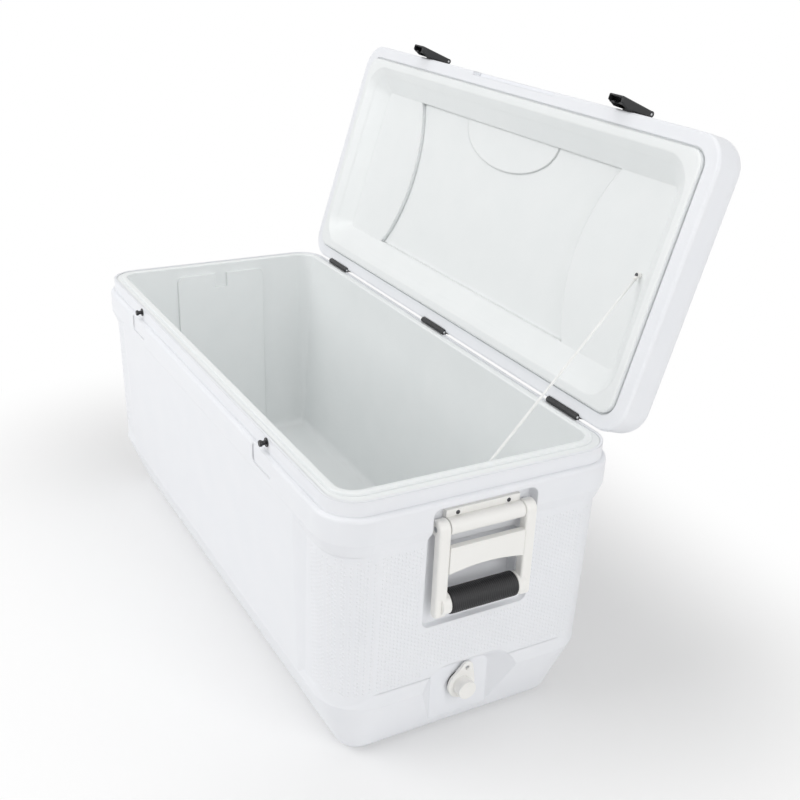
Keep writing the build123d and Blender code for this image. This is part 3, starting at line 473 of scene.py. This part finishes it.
# Latch rubber: soft black with a dusty, even sheen.
latch_rubber = moulded("black latch rubber", pale="#161719", shaded="#1E1F21", roughness=0.5, grain_mm=0.5,
                       grain_depth_mm=0.03, ior=1.52, edge_mm=1.5)
for end in ("left", "right"):
    finish_with(black_acetal, "keeper_post_" + end)
    finish_with(black_nylon, "latch_base_" + end)
    finish_with(latch_rubber, "latch_lever_" + end)
    finish_with(stainless, "latch_pin_" + end)
latch_spacing = 298 * MM
latch_screw_offset = 7 * MM
latch_screw_xs = [x + side * latch_screw_offset
                  for x in (-latch_spacing, latch_spacing) for side in (-1, 1)]
latch_boss_face = -228 * MM
latch_screw_height = 469.5 * MM
latch_spots = [(lid_open @ Vector((x, latch_boss_face, latch_screw_height)), lid_turn @ -backwards)
               for x in latch_screw_xs]
screws("latch_screws", "lid", latch_spots, stainless)


# Swing handles
# Each end has an injection-moulded bracket with a barrel, screwed into the pocket by two dark screws, and a
# swinging bail on a steel pin. A ribbed rubber sleeve covers the bail's bar.

# Polypropylene moulding: a warmer, glossier white than the shell.
ivory_polypropylene = moulded("ivory polypropylene", pale="#F9F8F5", shaded="#F5F4F0", roughness=0.34,
                              grain_mm=1.2, grain_depth_mm=0.015, ior=1.49, edge_mm=1.5)
# Blackened steel for the screws: dark grey with a dull shine.
dark_steel = bare_metal("blackened steel", "#4A4B4D", polished=0.3, dulled=0.5)
for end in ("left", "right"):
    finish_with(ivory_polypropylene, "handle_bracket_" + end, "handle_bail_" + end)
    finish_with(stainless, "handle_pin_" + end)
bracket_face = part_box("handle_screws")[1].x - screw_height
handle_screw_height = 402.5 * MM
handle_screw_offset = 41.5 * MM
handle_spots = [((side * bracket_face, y, handle_screw_height), (side, 0, 0))
                for side in (-1, 1) for y in (-handle_screw_offset, handle_screw_offset)]
screws("handle_screws", "body", handle_spots, dark_steel)

grip_radius = 18.5 * MM
rib_pitch = 3.2 * MM
rib_depth = 0.6 * MM
grip_edge = 2.5 * MM
grip_steps = 281
grip_sides = 56
# Grip rubber: black, matt, slightly grey where the ribs catch the light.
grip_rubber = moulded("black grip rubber", pale="#121214", shaded="#19191C", roughness=0.55, grain_mm=0.4,
                      grain_depth_mm=0.03, ior=1.52, edge_mm=0.5)

tree, given = new_tree("Ribbed grip", Length="Float", Radius="Float", Rib_pitch="Float", Rib_depth="Float",
                       Edge="Float", Centre="Vector", Grip_material="Material")
half = add(tree, "ShaderNodeMath", {0: given["Length"], 1: 0.5}, operation="MULTIPLY")
back = add(tree, "ShaderNodeMath", {0: half.outputs[0], 1: -1.0}, operation="MULTIPLY")
start = add(tree, "ShaderNodeCombineXYZ", {"Y": back.outputs[0]})
stop = add(tree, "ShaderNodeCombineXYZ", {"Y": half.outputs[0]})
bar = add(tree, "GeometryNodeCurvePrimitiveLine", {"Start": start.outputs[0], "End": stop.outputs[0]})
bar = add(tree, "GeometryNodeResampleCurve", {"Curve": bar.outputs[0], "Count": grip_steps})
run = add(tree, "GeometryNodeSplineParameter").outputs["Length"]
turns = add(tree, "ShaderNodeMath", {0: run, 1: given["Rib pitch"]}, operation="DIVIDE")
angle = add(tree, "ShaderNodeMath", {0: turns.outputs[0], 1: pi}, operation="MULTIPLY")
wave = add(tree, "ShaderNodeMath", {0: angle.outputs[0]}, operation="SINE")
wave = add(tree, "ShaderNodeMath", {0: wave.outputs[0]}, operation="ABSOLUTE")
low = add(tree, "ShaderNodeMath", {0: given["Radius"], 1: given["Rib depth"]}, operation="SUBTRACT")
ribbed = add(tree, "ShaderNodeMath", {0: wave.outputs[0], 1: given["Rib depth"], 2: low.outputs[0]},
             operation="MULTIPLY_ADD")
far = add(tree, "ShaderNodeMath", {0: given["Length"], 1: run}, operation="SUBTRACT")
near_end = add(tree, "ShaderNodeMath", {0: run, 1: far.outputs[0]}, operation="MINIMUM")
inset = add(tree, "ShaderNodeMapRange", {"Value": near_end.outputs[0], "From Max": given["Edge"],
                                         "To Min": given["Edge"], "To Max": 0.0},
            interpolation_type="SMOOTHSTEP")
radius = add(tree, "ShaderNodeMath", {0: ribbed.outputs[0], 1: inset.outputs["Result"]},
             operation="SUBTRACT")
section = add(tree, "GeometryNodeCurvePrimitiveCircle", {"Resolution": grip_sides, "Radius": 1.0})
sleeve = add(tree, "GeometryNodeCurveToMesh", {"Curve": bar.outputs[0], "Profile Curve": section.outputs[0],
                                               "Scale": radius.outputs[0], "Fill Caps": True})
sleeve = add(tree, "GeometryNodeSetShadeSmooth", {"Geometry": sleeve.outputs[0]})
sleeve = add(tree, "GeometryNodeTransform", {"Geometry": sleeve.outputs[0], "Translation": given["Centre"]})
end_tree(tree, sleeve.outputs[0], given["Grip material"])
for end in ("left", "right"):
    lowest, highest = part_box("handle_grip_" + end)
    grip = grow("handle_grip_sleeve_" + end, tree, bpy.data.meshes.new("grip"), Length=highest.y - lowest.y,
                Radius=grip_radius, Rib_pitch=rib_pitch, Rib_depth=rib_depth, Edge=grip_edge,
                Centre=(lowest + highest) / 2, Grip_material=grip_rubber)
    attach(grip, "handle_" + end)
    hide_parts("handle_grip_" + end)


# Drain
# A flanged spout passes through the wall on a rubber gasket and is held inside by a nut. The screw cap
# outside has a flat flange whose lug takes a lanyard.

finish_with(ivory_polypropylene, "drain_spout", "drain_nut", "drain_cap")
finish_with(grip_rubber, "drain_gasket")


# Stay cord
# White braided polyester cord that stops the lid. It runs straight and taut from the liner's end wall to the
# lid's dish, and each end is crimped in a ferrule on a moulded eye. A dark screw holds the eye in the lid.

finish_with(ivory_polypropylene, "stay_body_anchor", "stay_lid_anchor")
cord_start = Vector((491.90, 25.03, 444.52)) * MM
cord_end = Vector((425.71, 307.21, 659.97)) * MM
cord_radius = 2.2 * MM
core_radius = 1.15 * MM
strand_radius = 0.75 * MM
strand_sides = 6
strand_pairs = 4
braid_pitch = 14 * MM
braid_lift = 0.15 * MM
steps_per_turn = 14

route = bpy.data.curves.new("stay_route", "CURVE")
route.dimensions = "3D"
spline = route.splines.new("NURBS")
spline.points.add(3)
for point, share in zip(spline.points, (0, 1 / 3, 2 / 3, 1)):
    point.co = (*cord_start.lerp(cord_end, share), 1.0)
spline.order_u = 3
spline.use_endpoint_u = True
spline.resolution_u = 12
route_piece = bpy.data.objects.new("stay_route", route)
line = bpy.data.meshes.new_from_object(route_piece)
path = [vertex.co.copy() for vertex in line.vertices]
bpy.data.objects.remove(route_piece)

length = (path[-1] - path[0]).length
along = (path[-1] - path[0]).normalized()
first_side = along.cross(Vector((0, 0, 1))).normalized()
second_side = along.cross(first_side)
braid_steps = int(length / braid_pitch * steps_per_turn)


def braided(hand, number):
    """Middle line of one strand, winding by hand and passing over and under the others."""
    line = []
    for i in range(braid_steps + 1):
        run = length * i / braid_steps
        turn = 2 * pi * (hand * run / braid_pitch + number / strand_pairs)
        out = cos(turn) * first_side + sin(turn) * second_side
        lift = hand * braid_lift * sin(2 * pi * strand_pairs * run / braid_pitch)
        line.append((path[0] + along * run + out * (cord_radius - strand_radius - braid_lift + lift), out))
    return line


points, faces = [], []
for hand in (-1, 1):
    for number in range(strand_pairs):
        add_tube(points, faces, braided(hand, number), strand_radius, strand_sides)
add_tube(points, faces, [(point, first_side) for point in path], core_radius, strand_sides)
# Polyester yarn: white, dry, with a soft sheen at grazing angles and a nap too fine to see strand by strand.
fibre_spacing = 0.3 * MM
fibre_depth = 0.05 * MM
polyester, tree, shader, place = surface("braided white polyester", {
    "Base Color": linear("#F8F8F7"), "Roughness": 0.8, "Sheen Weight": 0.25, "IOR": 1.5})
fuzz = add(tree, "ShaderNodeTexNoise", {"Vector": place, "Scale": 1 / fibre_spacing, "Detail": 2.0})
bump = add(tree, "ShaderNodeBump", {"Height": fuzz.outputs["Fac"], "Distance": fibre_depth})
tree.links.new(bump.outputs["Normal"], shader.inputs["Normal"])
cord = tube_piece("stay_cord_braid", points, faces, polyester)
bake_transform(cord)
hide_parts("stay_cord")

stay_eye_top = Vector((424, -4, 475.5)) * MM
screws("stay_screw", "lid", [(lid_open @ stay_eye_top, lid_down)], dark_steel)


# Studio
# A white floor that keeps the soft shadow, big soft lights from the latch side, from above and from the
# drain end, and the camera at the place from which the photograph was taken.


def seen_rays(tree):
    """A socket that is 1 for rays from the camera, off gloss or through glass, and 0 for the rest."""
    rays = add(tree, "ShaderNodeLightPath")
    seen = add(tree, "ShaderNodeMath", {0: rays.outputs["Is Camera Ray"], 1: rays.outputs["Is Glossy Ray"]},
               operation="MAXIMUM")
    seen = add(tree, "ShaderNodeMath", {0: seen.outputs[0], 1: rays.outputs["Is Transmission Ray"]},
               operation="MAXIMUM")
    return seen.outputs[0]


floor_half = 40.0
# The paper shows its shadow round the chest and turns plain white between two distances from it.
shadow_core = (0.5, 0.2, 0.0)
shadow_middle = (0.0, 0.07, 0.0)
fade_start = 0.12
fade_end = 0.62
veil_least = 0.18
floor_mesh = bpy.data.meshes.new("floor")
corners = [(-floor_half, -floor_half, 0), (floor_half, -floor_half, 0), (floor_half, floor_half, 0),
           (-floor_half, floor_half, 0)]
floor_mesh.from_pydata(corners, [], [(0, 1, 2, 3)])
floor = bpy.data.objects.new("floor", floor_mesh)
scene.collection.objects.link(floor)
# Studio paper: matt and almost white.
paper = bpy.data.materials.new("white studio paper")
paper.use_nodes = True
tree = paper.node_tree
tree.nodes.clear()
lit = add(tree, "ShaderNodeBsdfDiffuse", {"Color": linear("#F8F8F8")})
glow = add(tree, "ShaderNodeEmission", {"Color": linear("#FFFFFF"), "Strength": 1.0})
place = add(tree, "ShaderNodeTexCoord").outputs["Object"]
spread = add(tree, "ShaderNodeVectorMath", {0: place, 1: shadow_middle}, operation="SUBTRACT")
spread = add(tree, "ShaderNodeVectorMath", {0: spread.outputs[0]}, operation="ABSOLUTE")
spread = add(tree, "ShaderNodeVectorMath", {0: spread.outputs[0], 1: shadow_core}, operation="SUBTRACT")
spread = add(tree, "ShaderNodeVectorMath", {0: spread.outputs[0], 1: (0, 0, 0)}, operation="MAXIMUM")
spread = add(tree, "ShaderNodeVectorMath", {0: spread.outputs[0]}, operation="LENGTH")
fade = add(tree, "ShaderNodeMapRange", {"Value": spread.outputs["Value"], "From Min": fade_start,
                                        "From Max": fade_end, "To Min": veil_least, "To Max": 1.0},
           interpolation_type="SMOOTHSTEP")
veil = add(tree, "ShaderNodeMath", {0: seen_rays(tree), 1: fade.outputs["Result"]}, operation="MULTIPLY")
mixed = add(tree, "ShaderNodeMixShader", {0: veil.outputs[0], 1: lit.outputs[0], 2: glow.outputs[0]})
add(tree, "ShaderNodeOutputMaterial", {"Surface": mixed.outputs[0]})
floor_mesh.materials.append(paper)

room_light = 0.38
world = bpy.data.worlds.new("studio")
scene.world = world
world.use_nodes = True
tree = world.node_tree
tree.nodes.clear()
level = add(tree, "ShaderNodeMapRange", {"Value": seen_rays(tree), "To Min": room_light, "To Max": 1.0})
sky = add(tree, "ShaderNodeBackground", {"Color": linear("#FFFFFF"), "Strength": level.outputs["Result"]})
add(tree, "ShaderNodeOutputWorld", {"Surface": sky.outputs[0]})

chest_middle = Vector((0.0, 0.0, 0.4))


def soft_light(name, place, size, power):
    """Square soft box at a place, facing the middle of the chest."""
    lamp = bpy.data.lights.new(name, "AREA")
    lamp.size = size
    lamp.energy = power
    box = bpy.data.objects.new(name, lamp)
    box.location = place
    box.rotation_euler = (chest_middle - Vector(place)).to_track_quat("-Z", "Y").to_euler()
    scene.collection.objects.link(box)


soft_light("latch_side_box", place=(-0.6, -2.8, 2.2), size=2.6, power=55)
soft_light("overhead_box", place=(0.1, 0.1, 3.2), size=2.6, power=20)
soft_light("drain_end_box", place=(3.2, 0.4, 1.5), size=2.0, power=33)

camera_place = Vector((1.6385, -0.7761, 1.1548))
camera_yaw = radians(-60.227)
camera_pitch = radians(23.925)
camera_roll = radians(2.559)
ahead = Vector((cos(camera_pitch) * sin(camera_yaw), cos(camera_pitch) * cos(camera_yaw),
                -sin(camera_pitch)))
level_right = Vector((cos(camera_yaw), -sin(camera_yaw), 0))
level_up = level_right.cross(ahead)
right = cos(camera_roll) * level_right + sin(camera_roll) * level_up
up = -sin(camera_roll) * level_right + cos(camera_roll) * level_up
lens = bpy.data.cameras.new("camera")
lens.lens = 50.44
lens.sensor_width = 36.0
lens.clip_end = 200.0
camera = bpy.data.objects.new("camera", lens)
camera.matrix_world = Matrix.Translation(camera_place) @ Matrix((right, up, -ahead)).transposed().to_4x4()
scene.collection.objects.link(camera)
scene.camera = camera
scene.view_settings.view_transform = "Standard"
